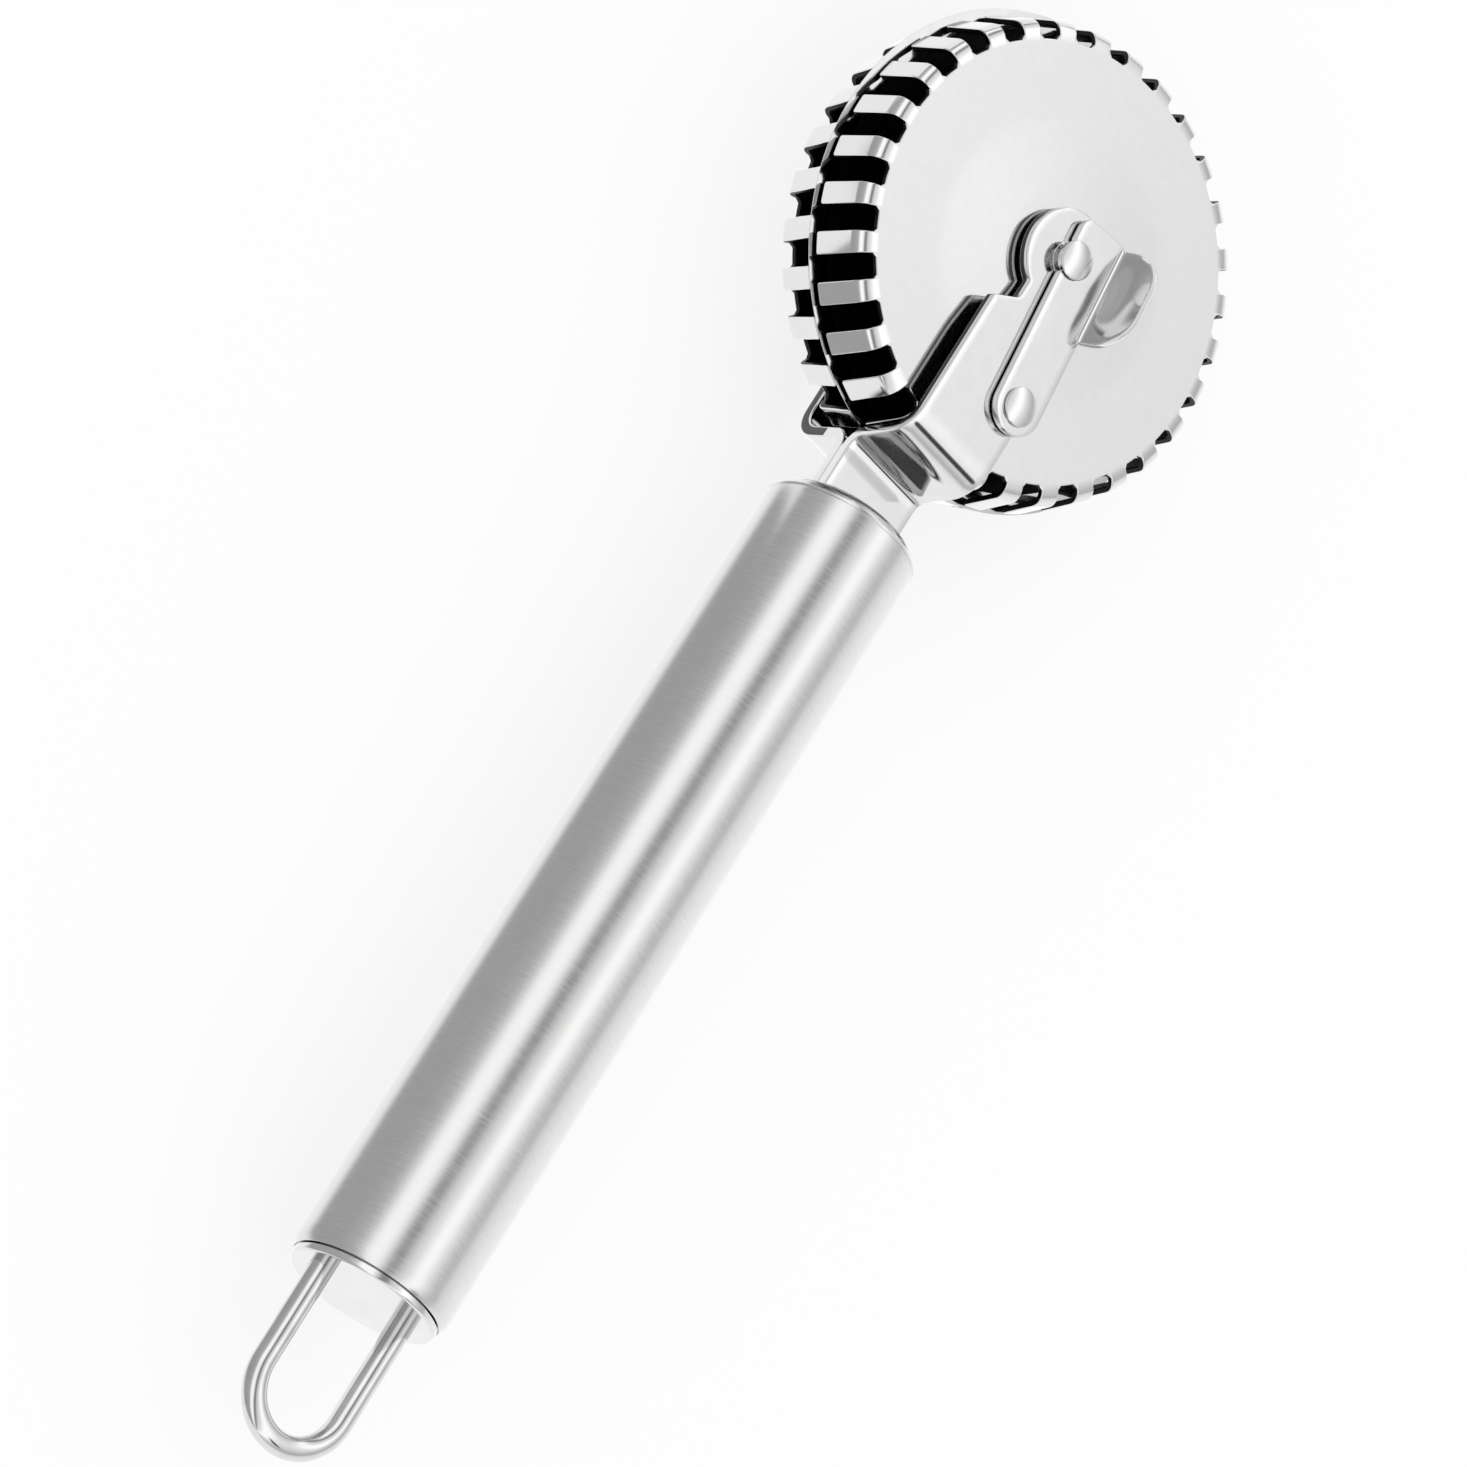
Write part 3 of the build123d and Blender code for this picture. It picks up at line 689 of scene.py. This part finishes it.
# %% Axle and rivet
DOME_STEPS = 8
HEAD_RADIUS, HEAD_RIM, HEAD_DOME = 2.4, 0.25, 0.4
GROOVE_RADIUS = 1.65
FOOT_RADIUS, FOOT_HEIGHT = 4.6, 1.6
GROOVE_PLAY = 0.2
LATCH_GAP, LATCH_SHEET = 0.25, 1.0
LATCH_LOW = ARM_TOP + LATCH_GAP
LATCH_TOP = LATCH_LOW + LATCH_SHEET
GROOVE_TOP = LATCH_TOP + GROOVE_PLAY


def dome(radius, base, height):
    """Outline of a low dome from its top to its rim: height falls with the square of the radius."""
    t = np.linspace(0, 1, DOME_STEPS + 1)
    return np.stack([radius * t, base + height * (1 - t**2)], 1)


pin_outline = np.concatenate([
    dome(HEAD_RADIUS, GROOVE_TOP + HEAD_RIM, HEAD_DOME),
    [(HEAD_RADIUS, GROOVE_TOP), (GROOVE_RADIUS, GROOVE_TOP),
     (GROOVE_RADIUS, LATCH_LOW - GROOVE_PLAY), (HEAD_RADIUS, LATCH_LOW - GROOVE_PLAY),
     (HEAD_RADIUS, -ARM_TOP), (FOOT_RADIUS, -ARM_TOP),
     (FOOT_RADIUS, -ARM_TOP - FOOT_HEIGHT), (0, -ARM_TOP - FOOT_HEIGHT)],
])
pin_radii = [0.0] * DOME_STEPS + [0.25, 0.12, 0.1, 0.1, 0.1, 0.0, 0.2, 0.4, 0]
pin_outline = broken(pin_outline, pin_radii, closed=False)
skin("axle_turned", turned(pin_outline, 96), BODY, "axle_pin")

RIVET = (-19.0, -4.2)
RIVET_RIM, RIVET_PLAY = 0.3, 0.05
RIVET_SHANK, SPREAD_RADIUS, SPREAD_HEIGHT = 1.4, 2.3, 0.6
rivet_base = LATCH_TOP + RIVET_PLAY
arm_underside = ARM_TOP - SHEET
rivet_outline = np.concatenate([
    dome(HEAD_RADIUS, rivet_base + RIVET_RIM, HEAD_DOME),
    [(HEAD_RADIUS, rivet_base), (RIVET_SHANK, rivet_base),
     (RIVET_SHANK, arm_underside), (SPREAD_RADIUS, arm_underside),
     (SPREAD_RADIUS, arm_underside - SPREAD_HEIGHT), (0, arm_underside - SPREAD_HEIGHT)],
])
rivet_radii = [0.0] * DOME_STEPS + [0.1, 0.1, 0, 0, 0.1, 0.2, 0]
rivet_outline = broken(rivet_outline, rivet_radii, closed=False)
skin("rivet_head", turned(rivet_outline, 80, centre=RIVET), BODY, "latch_rivet")

# %% [markdown]
# ## The latch plate
#
# A narrow plate that turns on the rivet. Its upper edge has a notch that closes round the axle's
# groove. Top edge and bottom edge are the two chains of the flat pattern, both walked at the same
# share of their way, so that the section stays upright. The plate is drawn along its own direction
# from the rivet, then turned by its tilt.

# %% Latch plate
TILT = math.radians(5.8)
STRAP = 3.5  # half of the plate's width
LATCH_END = 25.0
LATCH_EDGE = 0.16
NOTCH = 1.85  # radius, a little more than the groove's
back, sideways = -RIVET[0], -RIVET[1]
axle_u = back * math.cos(TILT) + sideways * math.sin(TILT)
axle_v = -back * math.sin(TILT) + sideways * math.cos(TILT)


def matched(chain, partner):
    """The partner chain resampled to the chain's count; steps sideways count for little."""
    def walk(points):
        steps = np.abs(np.diff(points, axis=0)) @ [1.0, 0.15]
        way = np.concatenate([[0], np.cumsum(steps)])
        return way / way[-1]
    share, own = walk(chain), walk(partner)
    return np.stack([np.interp(share, own, partner[:, k]) for k in (0, 1)], 1)


def on_latch(u, v, z):
    """Turns the latch's own directions by its tilt and moves them to the rivet."""
    x = RIVET[0] + u * math.cos(TILT) - v * math.sin(TILT)
    y = RIVET[1] + u * math.sin(TILT) + v * math.cos(TILT)
    return np.stack([x, y, LATCH_LOW + z], -1)


top_edge = np.concatenate([
    arc_points((0, 0), STRAP, 180, 90, 24),
    [(axle_u - NOTCH, STRAP)],
    arc_points((axle_u, axle_v), NOTCH, 180, 360, 28),
    [(axle_u + NOTCH, STRAP), (LATCH_END, STRAP), (LATCH_END, 0)],
])
top_radii = [0] * 25 + [0.8] + [0] * 29 + [0.8, 1.4, 0]
top_edge = densified(broken(top_edge, top_radii, steps=6, closed=False), 0.35)
low_edge = np.concatenate([
    arc_points((0, 0), STRAP, 180, 270, 24),
    [(LATCH_END, -STRAP), (LATCH_END, 0)],
])
low_edge = densified(broken(low_edge, [0] * 25 + [0.5, 0], closed=False), 0.2)
latch_across = np.linspace(0, 1, 9)
strap_flat = plate(top_edge, matched(top_edge, low_edge), LATCH_SHEET, LATCH_EDGE, latch_across)
strap_grid = on_latch(strap_flat[..., 0], strap_flat[..., 1], LATCH_SHEET + strap_flat[..., 2])
skin("latch_strap", strap_grid, LATCH_BODY, "latch_plate")

# %% [markdown]
# ## The thumb tab
#
# From the latch's lower edge a round-cornered tab folds up for the thumb. Folding keeps lengths,
# like the press on the crimp wheel: the flat pattern is as long as the bend's outer arc and what
# stands beyond it. The tab is slightly hollow. A parabola across it times half a sine wave along it
# gives the hollow, and with it the soft grey spot inside a bright rim.

# %% Thumb tab
TAB_HALF = 6.6
TAB_REACH = 6.95
TAB_CORNER = 4.8
TAB_CENTRE = 18.0
TAB_HOLLOW = 0.4
TAB_EDGE = 0.3
HOLLOW_RIM = 1.2
HOLLOW_HALF = TAB_HALF - HOLLOW_RIM
FOLD = 4.0
FOLD_ANGLE = math.radians(72.0)
FOLD_OUTER = 1.8
reach = FOLD_OUTER * math.tan(FOLD_ANGLE / 2)
fold_start = FOLD - reach
fold_length = FOLD_OUTER * FOLD_ANGLE


def unfolded(rise):
    """Length along the sheet's outer face up to a height on the tab, the bend counted as an arc."""
    in_bend = fold_length * rise / reach
    return fold_start + np.where(rise < reach, in_bend, fold_length + rise - reach)


corner_centre = (TAB_CORNER - TAB_HALF, TAB_REACH - TAB_CORNER)
tab_edge = densified(np.concatenate([
    [(-TAB_HALF, 0)],
    arc_points(corner_centre, TAB_CORNER, 180, 90, 40),
    [(0, TAB_REACH)],
]), 0.2)
foot_edge = densified([(fold_start, 0), (fold_start, -TAB_HALF)], 0.8)[:-1]
half_tab = np.concatenate([foot_edge, np.stack([unfolded(tab_edge[:, 1]), tab_edge[:, 0]], 1)])
tab_flat = plate(half_tab, half_tab * [1, -1], LATCH_SHEET, TAB_EDGE, np.linspace(0, 1, 19))
length, chord, depth = tab_flat[..., 0], tab_flat[..., 1], tab_flat[..., 2]
turned_by = np.clip((length - fold_start) / FOLD_OUTER, 0, FOLD_ANGLE)
beyond = np.maximum(length - fold_start - fold_length, 0)
across_tab = np.clip(1 - (chord / HOLLOW_HALF) ** 2, 0, 1)
along_tab = np.sin(np.pi * np.clip(beyond / beyond.max(), 0, 1))
lift = LATCH_SHEET + depth - TAB_HOLLOW * across_tab * along_tab
out = fold_start + (FOLD_OUTER - lift) * np.sin(turned_by) + beyond * math.cos(FOLD_ANGLE)
up = FOLD_OUTER - (FOLD_OUTER - lift) * np.cos(turned_by) + beyond * math.sin(FOLD_ANGLE)
skin("latch_tab", on_latch(TAB_CENTRE + chord, -out, up), LATCH_BODY)

# %% [markdown]
# ## Steel
#
# Bare steel has no colour of its own: a metal's base colour is how much it reflects, about 0.6 for
# stainless, and what differs from piece to piece is how finely it was finished. Roughness spreads
# the reflection, and a relief of less than a micron is enough to make it waver. Colours are given
# as hex values and made linear first, as the renderer counts in light, not in screen values.

# %% Material helpers
def linear(hex_colour):
    """Screen colour to light: divided by 12.92 near black, else a power of 2.4."""
    values = [int(hex_colour[k:k + 2], 16) / 255 for k in (1, 3, 5)]
    return [v / 12.92 if v <= 0.04045 else ((v + 0.055) / 1.055) ** 2.4 for v in values] + [1.0]


def add(tree, kind, inputs=None, **settings):
    """Adds a node with its settings; an input, by name or number, gets a link or a plain value."""
    node = tree.nodes.new(kind)
    for key, value in settings.items():
        setattr(node, key, value)
    for key, value in (inputs or {}).items():
        if isinstance(value, bpy.types.NodeSocket):
            tree.links.new(value, node.inputs[key])
        else:
            node.inputs[key].default_value = value
    return node


def new_material(name, shader_inputs):
    """An empty node material, its Principled shader and its output, joined."""
    material = bpy.data.materials.new(name)
    material.use_nodes = True
    tree = material.node_tree
    tree.nodes.clear()
    shader = add(tree, "ShaderNodeBsdfPrincipled", shader_inputs)
    output = add(tree, "ShaderNodeOutputMaterial", {"Surface": shader.outputs[0]})
    return material, tree, shader, output


def steel(name, ripples, dark, light, smooth, rough, relief):
    """Steel with fine marks: ripples per mm along x, y and z, and a relief in metres.

    The marks are noise over the object's own place. From 0.3 to 0.7 of it the tone runs from dark
    to light and the roughness from smooth to rough.
    """
    material, tree, shader, _ = new_material(name, {"Metallic": 1.0})
    place = add(tree, "ShaderNodeTexCoord").outputs["Object"]
    per_metre = [r / MM for r in ripples]
    scaled = add(tree, "ShaderNodeVectorMath", {0: place, 1: per_metre}, operation="MULTIPLY")
    marks = add(tree, "ShaderNodeTexNoise",
                {"Vector": scaled.outputs[0], "Scale": 1.0, "Detail": 3.0}).outputs[0]
    span = {"Value": marks, "From Min": 0.3, "From Max": 0.7}
    share = add(tree, "ShaderNodeMapRange", {**span, "To Min": 0.0, "To Max": 1.0})
    tones = {"Factor": share.outputs[0], "A": linear(dark), "B": linear(light)}
    tone = add(tree, "ShaderNodeMix", tones, data_type="RGBA")
    roughness = add(tree, "ShaderNodeMapRange", {**span, "To Min": smooth, "To Max": rough})
    waver = add(tree, "ShaderNodeBump", {"Height": marks, "Strength": 1.0, "Distance": relief})
    tree.links.new(tone.outputs["Result"], shader.inputs["Base Color"])
    tree.links.new(roughness.outputs[0], shader.inputs["Roughness"])
    tree.links.new(waver.outputs[0], shader.inputs["Normal"])
    print(f"{name}: {dark} to {light}, roughness {smooth} to {rough}")
    return material


# %% [markdown]
# ## The finishes of this object
#
# Only the handle is brushed; everything that was stamped or turned was polished afterwards, which
# leaves a near mirror. The differences between those are small: the blade was ground, so it is a
# little darker, and wire is drawn, so it is a little uneven. The inside of a cup, the blade between
# the cups, the handle's mouth and the lower wall of an arm over the wheel are duller and painted
# dark grey to near black: painted shade, where little light reaches or a dark gap is reflected.

# %% Finishes
# Fine lapping round the handle: ripples close together along it, so reflections smear lengthwise.
brushed = steel("brushed stainless tube", (9.0, 0.4, 0.4), "#CBCBCB", "#D3D3D2", 0.20, 0.27, 4e-7)
# Polished strip: its neighbours show in it crisply, so the dark gap beside the arm has an edge.
strip = steel("polished stainless strip", (0.5, 0.5, 0.5), "#CECECE", "#D2D2D2", 0.09, 0.11, 5e-8)
# Polished caps and pins: almost a mirror, with a faint slow unevenness.
polished = steel("polished stainless", (0.25, 0.25, 0.25), "#CDCDCD", "#D2D2D2", 0.10, 0.14, 2e-6)
# Drawn wire, polished with the rest: the drawing leaves its shades a little further apart.
wire_steel = steel("polished stainless wire", (0.3, 0.3, 0.3),
                   "#C4C4C4", "#D0D0D0", 0.09, 0.13, 1e-6)
# Ground and honed edge: the sharpest mirror here, a shade darker than the rest.
ground = steel("ground blade steel", (0.8, 0.8, 0.8), "#BEBEBE", "#C4C4C4", 0.06, 0.09, 5e-8)
# Polished sheet, pressed: an even near mirror, so that the arm's dark wall shows in it once more.
pressed_steel = steel("pressed stainless sheet", (0.8, 0.8, 0.8),
                      "#CFCFCF", "#D1D1D1", 0.10, 0.11, 1e-8)
# Moulded filler, for plugs, sleeve and spacers: matt and grey, and hidden until taken apart.
filler = steel("grey moulded plug", (1.0, 1.0, 1.0), "#4A4A4A", "#565656", 0.5, 0.6, 1e-6)
# Painted shade on duller steel: a sheared wall over the wheel, and the handle's mouth.
dull_steel_painted_shade = steel("dull steel, painted shade", (2.0, 2.0, 6.0), "#3E3E3E", "#505050", 0.35, 0.5, 2e-6)
# Painted shade, near black, on duller steel: inside a pressing and the blade between the cups.
inside_painted_shade = steel("inside, painted shade", (1.5, 1.5, 1.5), "#161616", "#1C1C1C", 0.4, 0.5, 5e-7)

for name, finishes in {
    "handle_skin": [brushed, dull_steel_painted_shade],
    "front_cap_skin": [polished], "rear_cap_skin": [polished],
    "loop_wire": [wire_steel],
    "near_arm_strap": [strip, dull_steel_painted_shade], "far_arm_strap": [strip, dull_steel_painted_shade],
    "near_cup": [pressed_steel, inside_painted_shade], "far_cup": [pressed_steel, inside_painted_shade],
    "blade_disc": [ground, inside_painted_shade],
    "axle_turned": [polished], "rivet_head": [polished],
    "latch_strap": [strip], "latch_tab": [strip],
}.items():
    for finish in finishes:
        pieces_made[name].data.materials.append(finish)

for node, finish in {
    "tang_plug": filler, "loop_plug": filler, "hub_sleeve": filler, "near_spacer": filler,
    "far_spacer": filler, "latch_washer": polished,
}.items():
    hidden_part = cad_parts[node].data
    hidden_part.materials.clear()
    hidden_part.materials.append(finish)

# %% [markdown]
# ## The studio
#
# The picture is a studio shot on white. Flat light falls on everything from everywhere, so that the
# shadow is only a soft darkening; what the steel shows is a ring of soft boxes and grey cards round
# the handle. The ring is told by the angle round the handle's length, zero to the left of the
# handle and ninety degrees overhead. One small dark gap between the soft boxes shows in the fork's
# riser by way of its neck. A ramp's stops go only up to one, so they hold shares of the peak.

# %% Studio
STUDIO = [(-180, 1.25), (-100, 1.3), (-58, 1.0), (-52, 0.52), (16, 0.58), (28, 0.9), (36, 1.5),
          (54, 1.5), (62, 0.9), (68, 0.35), (76, 0.35), (84, 0.9), (98, 1.2), (104, 1.6),
          (114, 1.6), (122, 1.2), (138, 0.75), (148, 0.65), (156, 1.05), (180, 1.25)]
PEAK = 2.0
GAP_DIRECTION = (-0.548, -0.465, 0.695)
GAP_LIGHT = 0.10
GAP_OUTSIDE, GAP_INSIDE = (math.cos(math.radians(a)) for a in (9, 4))  # from its middle
WHITE = (1, 1, 1, 1)

world = bpy.data.worlds.new("white studio")
bpy.context.scene.world = world
world.use_nodes = True
sky = world.node_tree
sky.nodes.clear()
direction = add(sky, "ShaderNodeTexCoord").outputs["Generated"]
parts = add(sky, "ShaderNodeSeparateXYZ", {0: direction}).outputs
ring = add(sky, "ShaderNodeMath", {0: parts["Z"], 1: parts["Y"]}, operation="ARCTAN2")
turn_share = add(sky, "ShaderNodeMapRange",
                 {"Value": ring.outputs[0], "From Min": -math.pi, "From Max": math.pi})
cards = add(sky, "ShaderNodeValToRGB", {"Fac": turn_share.outputs[0]})
ramp = cards.color_ramp
while len(ramp.elements) > 1:
    ramp.elements.remove(ramp.elements[-1])
for k, (angle, light) in enumerate(STUDIO):
    stop = ramp.elements[0] if k == 0 else ramp.elements.new((angle + 180) / 360)
    stop.position = (angle + 180) / 360
    stop.color = (light / PEAK,) * 3 + (1.0,)

towards_gap = add(sky, "ShaderNodeVectorMath", {0: direction, 1: GAP_DIRECTION},
                  operation="DOT_PRODUCT")
strength = add(sky, "ShaderNodeMapRange", {
    "Value": towards_gap.outputs["Value"], "From Min": GAP_OUTSIDE, "From Max": GAP_INSIDE,
    "To Min": PEAK, "To Max": GAP_LIGHT,
}, interpolation_type="SMOOTHSTEP")
reflected = add(sky, "ShaderNodeBackground",
                {"Color": cards.outputs[0], "Strength": strength.outputs[0]})
plain = add(sky, "ShaderNodeBackground", {"Color": WHITE, "Strength": 1.0})
ray = add(sky, "ShaderNodeLightPath")
either = add(sky, "ShaderNodeMixShader",
             {0: ray.outputs["Is Glossy Ray"], 1: plain.outputs[0], 2: reflected.outputs[0]})
add(sky, "ShaderNodeOutputWorld", {"Surface": either.outputs[0]})
print("stops round the ring:", len(STUDIO))

# %% [markdown]
# ## The floor
#
# White paper. The camera sees a share of pure white in it, so the shadow stays but is faint. The
# steel sees something else on the floor: a grey card on the handle's left, which gives the handle
# its long grey band. The card starts beside the handle, steps back beside the wheels, so that their
# fingers stay bright, and ends slantwise, as the reflections that the handle sends out to the side
# run forward. All of its edges are soft. These places are in metres, as the floor's own are.

# %% Floor
FLOOR_DROP = 0.0002
FLOOR_HALF = 3
PAPER_LIGHT, CARD_LIGHT = 1.25, 0.52
CARD_START = (0.014, 0.020)
WHEELS_START = (0.034, 0.044)
STEP_BACK = 0.036
CARD_END = (0.045, 0.070)
CARD_SLANT = 0.6
WHITE_SHARE = 0.75

floor_mesh = bpy.data.meshes.new("floor")
floor_corners = [(FLOOR_HALF * x, FLOOR_HALF * y, 0)
                 for x, y in ((-1, -1), (1, -1), (1, 1), (-1, 1))]
floor_mesh.from_pydata(floor_corners, [], [(0, 1, 2, 3)])
floor = bpy.data.objects.new("floor", floor_mesh)
floor.location.z = -FLOOR_DROP
bpy.context.scene.collection.objects.link(floor)

paper, tree, paper_shader, paper_output = new_material("white paper floor", {
    "Metallic": 0.0, "Roughness": 1.0, "Specular IOR Level": 0.0,
    "Base Color": (0.98, 0.98, 0.98, 1),
})
place = add(tree, "ShaderNodeTexCoord").outputs["Object"]
where = add(tree, "ShaderNodeSeparateXYZ", {0: place}).outputs
stepped = add(tree, "ShaderNodeMapRange", {
    "Value": where["X"], "From Min": WHEELS_START[0], "From Max": WHEELS_START[1],
    "To Min": 0.0, "To Max": STEP_BACK,
}, interpolation_type="SMOOTHSTEP")
from_start = add(tree, "ShaderNodeMath", {0: where["Y"], 1: stepped.outputs[0]},
                 operation="SUBTRACT")
card_side = add(tree, "ShaderNodeMapRange", {
    "Value": from_start.outputs[0], "From Min": CARD_START[0], "From Max": CARD_START[1],
    "To Min": PAPER_LIGHT, "To Max": CARD_LIGHT,
}, interpolation_type="SMOOTHSTEP")
slant = add(tree, "ShaderNodeMath", {0: where["Y"], 1: CARD_SLANT}, operation="MULTIPLY")
slanted = add(tree, "ShaderNodeMath", {0: where["X"], 1: slant.outputs[0]}, operation="SUBTRACT")
card_end = add(tree, "ShaderNodeMapRange", {
    "Value": slanted.outputs[0], "From Min": CARD_END[0], "From Max": CARD_END[1],
    "To Min": 0.0, "To Max": 1.0,
}, interpolation_type="SMOOTHSTEP")
card_light = add(tree, "ShaderNodeMix",
                 {"Factor": card_end.outputs[0], 2: card_side.outputs[0], 3: PAPER_LIGHT},
                 data_type="FLOAT")
in_steel = add(tree, "ShaderNodeEmission", {"Color": WHITE, "Strength": card_light.outputs[0]})
ray = add(tree, "ShaderNodeLightPath").outputs
pure_white = add(tree, "ShaderNodeEmission", {"Color": WHITE, "Strength": 1.0})
white_share = add(tree, "ShaderNodeMath", {0: ray["Is Camera Ray"], 1: WHITE_SHARE},
                  operation="MULTIPLY")
to_camera = add(tree, "ShaderNodeMixShader", {
    0: white_share.outputs[0], 1: paper_shader.outputs[0], 2: pure_white.outputs[0]})
floor_light = add(tree, "ShaderNodeMixShader", {
    0: ray["Is Glossy Ray"], 1: to_camera.outputs[0], 2: in_steel.outputs[0]})
tree.links.new(floor_light.outputs[0], paper_output.inputs["Surface"])
floor.data.materials.append(paper)
print("floor corners in metres:", [tuple(v.co) for v in floor_mesh.vertices])

# %% [markdown]
# ## The camera
#
# A long lens from far off, with its place and turn fitted to about fifty points of the tube, the
# wheels, the loop and the arms in the picture, so that the proportions can be compared one to one.

# %% Camera
camera_data = bpy.data.cameras.new("camera")
camera = bpy.data.objects.new("camera", camera_data)
bpy.context.scene.collection.objects.link(camera)
bpy.context.scene.camera = camera
camera_data.sensor_width = 36.0
camera_data.lens = 177.68
camera_data.clip_start, camera_data.clip_end = 0.05, 20.0
camera.rotation_euler = [math.radians(angle) for angle in (-0.417, -37.707, -51.584)]
camera.location = to_frame([-383.46, 403.75, 663.93])

view = bpy.context.scene.view_settings
view.view_transform = "Standard"
print("camera's distance in metres:", round(camera.location.length, 3))
